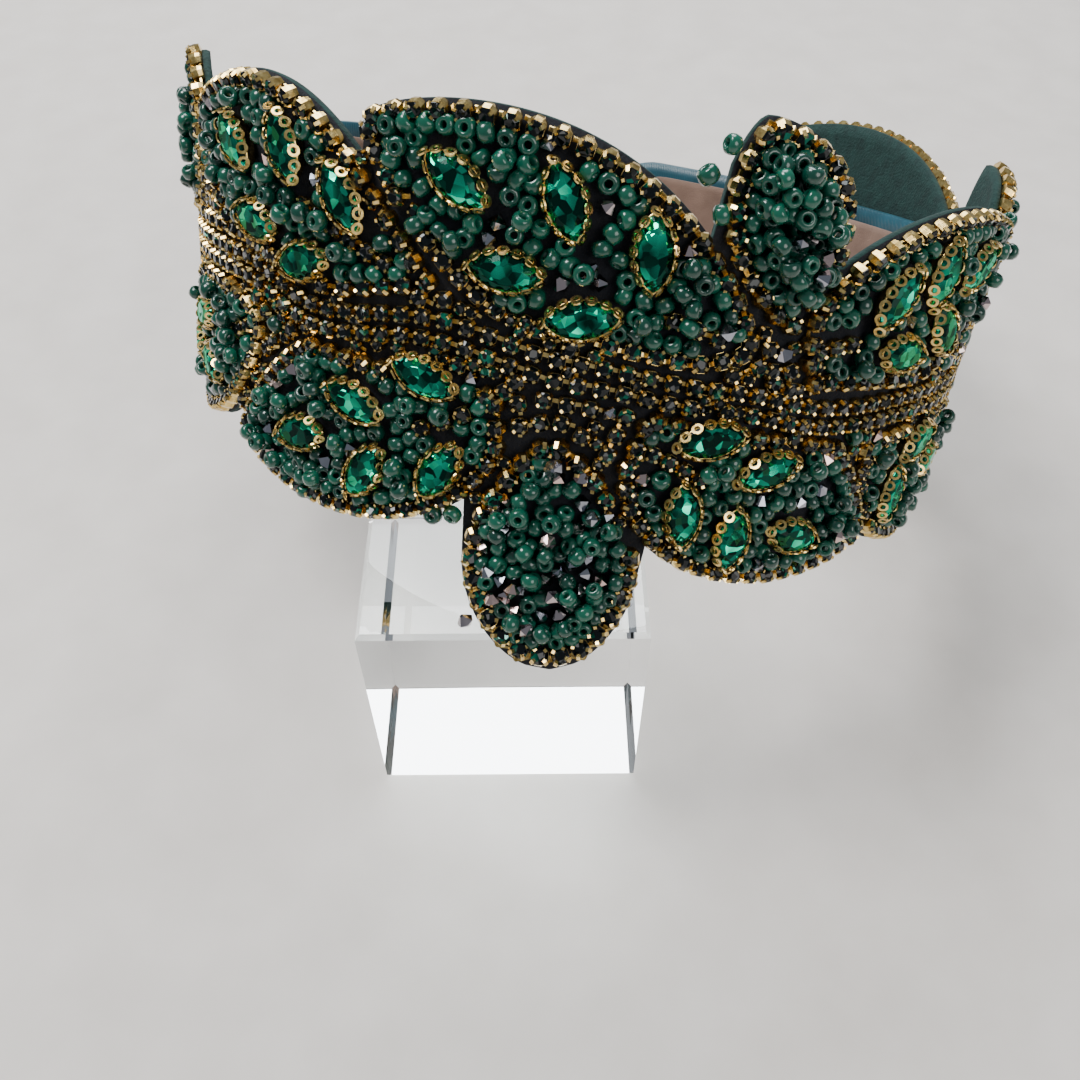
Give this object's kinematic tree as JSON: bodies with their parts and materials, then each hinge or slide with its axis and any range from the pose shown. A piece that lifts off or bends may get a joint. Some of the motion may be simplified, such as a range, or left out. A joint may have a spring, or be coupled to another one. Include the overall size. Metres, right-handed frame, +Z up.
{
  "type": "jewelled headband on a clear block stand",
  "caption": "C-shaped satin headband with felt leaves, gold cup chain, seed beads and marquise stones, resting on a clear cube.",
  "frame": {"origin": "centre of the bounding box's underside, on the surface that the block stands on", "axes": "+Z up; +Y from the front of the headband, with its hanging leaf, to the open back; +X to the right as the wearer's front is seen"},
  "size_m": [0.1636, 0.1668, 0.1249],
  "materials": {
    "block": "clear, polished, with bevelled edges",
    "satin": "blue-green satin",
    "suede": "brown suede",
    "felt": "dark green-blue felt",
    "chain": "polished gold, set with small dark stones",
    "stone": "cut emerald glass in gold settings"
  },
  "bodies": {
    "root": {"band": "satin", "chain_back_left": "chain", "chain_back_left_lower": "chain", "chain_back_right": "chain", "chain_back_right_lower": "chain", "chain_bud_left": "chain", "chain_bud_right": "chain", "chain_bud_top": "chain", "chain_centre_upper": "chain", "chain_far_left": "chain", "chain_far_right": "chain", "chain_lower_left": "chain", "chain_lower_right": "chain", "chain_pendant": "chain", "chain_upper_left": "chain", "chain_upper_right": "chain", "display_block": "block", "felt_backing": "felt", "lining": "suede", "stone_back_left_1": "stone", "stone_back_left_2": "stone", "stone_back_left_lower_1": "stone", "stone_back_right_1": "stone", "stone_back_right_2": "stone", "stone_back_right_3": "stone", "stone_back_right_lower_1": "stone", "stone_centre_upper_1": "stone", "stone_centre_upper_2": "stone", "stone_centre_upper_3": "stone", "stone_centre_upper_4": "stone", "stone_centre_upper_5": "stone", "stone_far_left_1": "stone", "stone_far_left_2": "stone", "stone_far_left_3": "stone", "stone_far_right_1": "stone", "stone_far_right_2": "stone", "stone_far_right_3": "stone", "stone_lower_left_1": "stone", "stone_lower_left_2": "stone", "stone_lower_left_3": "stone", "stone_lower_left_4": "stone", "stone_lower_left_5": "stone", "stone_lower_right_1": "stone", "stone_lower_right_2": "stone", "stone_lower_right_3": "stone", "stone_lower_right_4": "stone", "stone_lower_right_5": "stone", "stone_upper_left_1": "stone", "stone_upper_left_2": "stone", "stone_upper_left_3": "stone", "stone_upper_left_4": "stone", "stone_upper_left_5": "stone", "stone_upper_right_1": "stone", "stone_upper_right_2": "stone", "stone_upper_right_3": "stone", "stone_upper_right_4": "stone", "stone_upper_right_5": "stone", "vine_chain": "chain"}
  },
  "joints": []
}
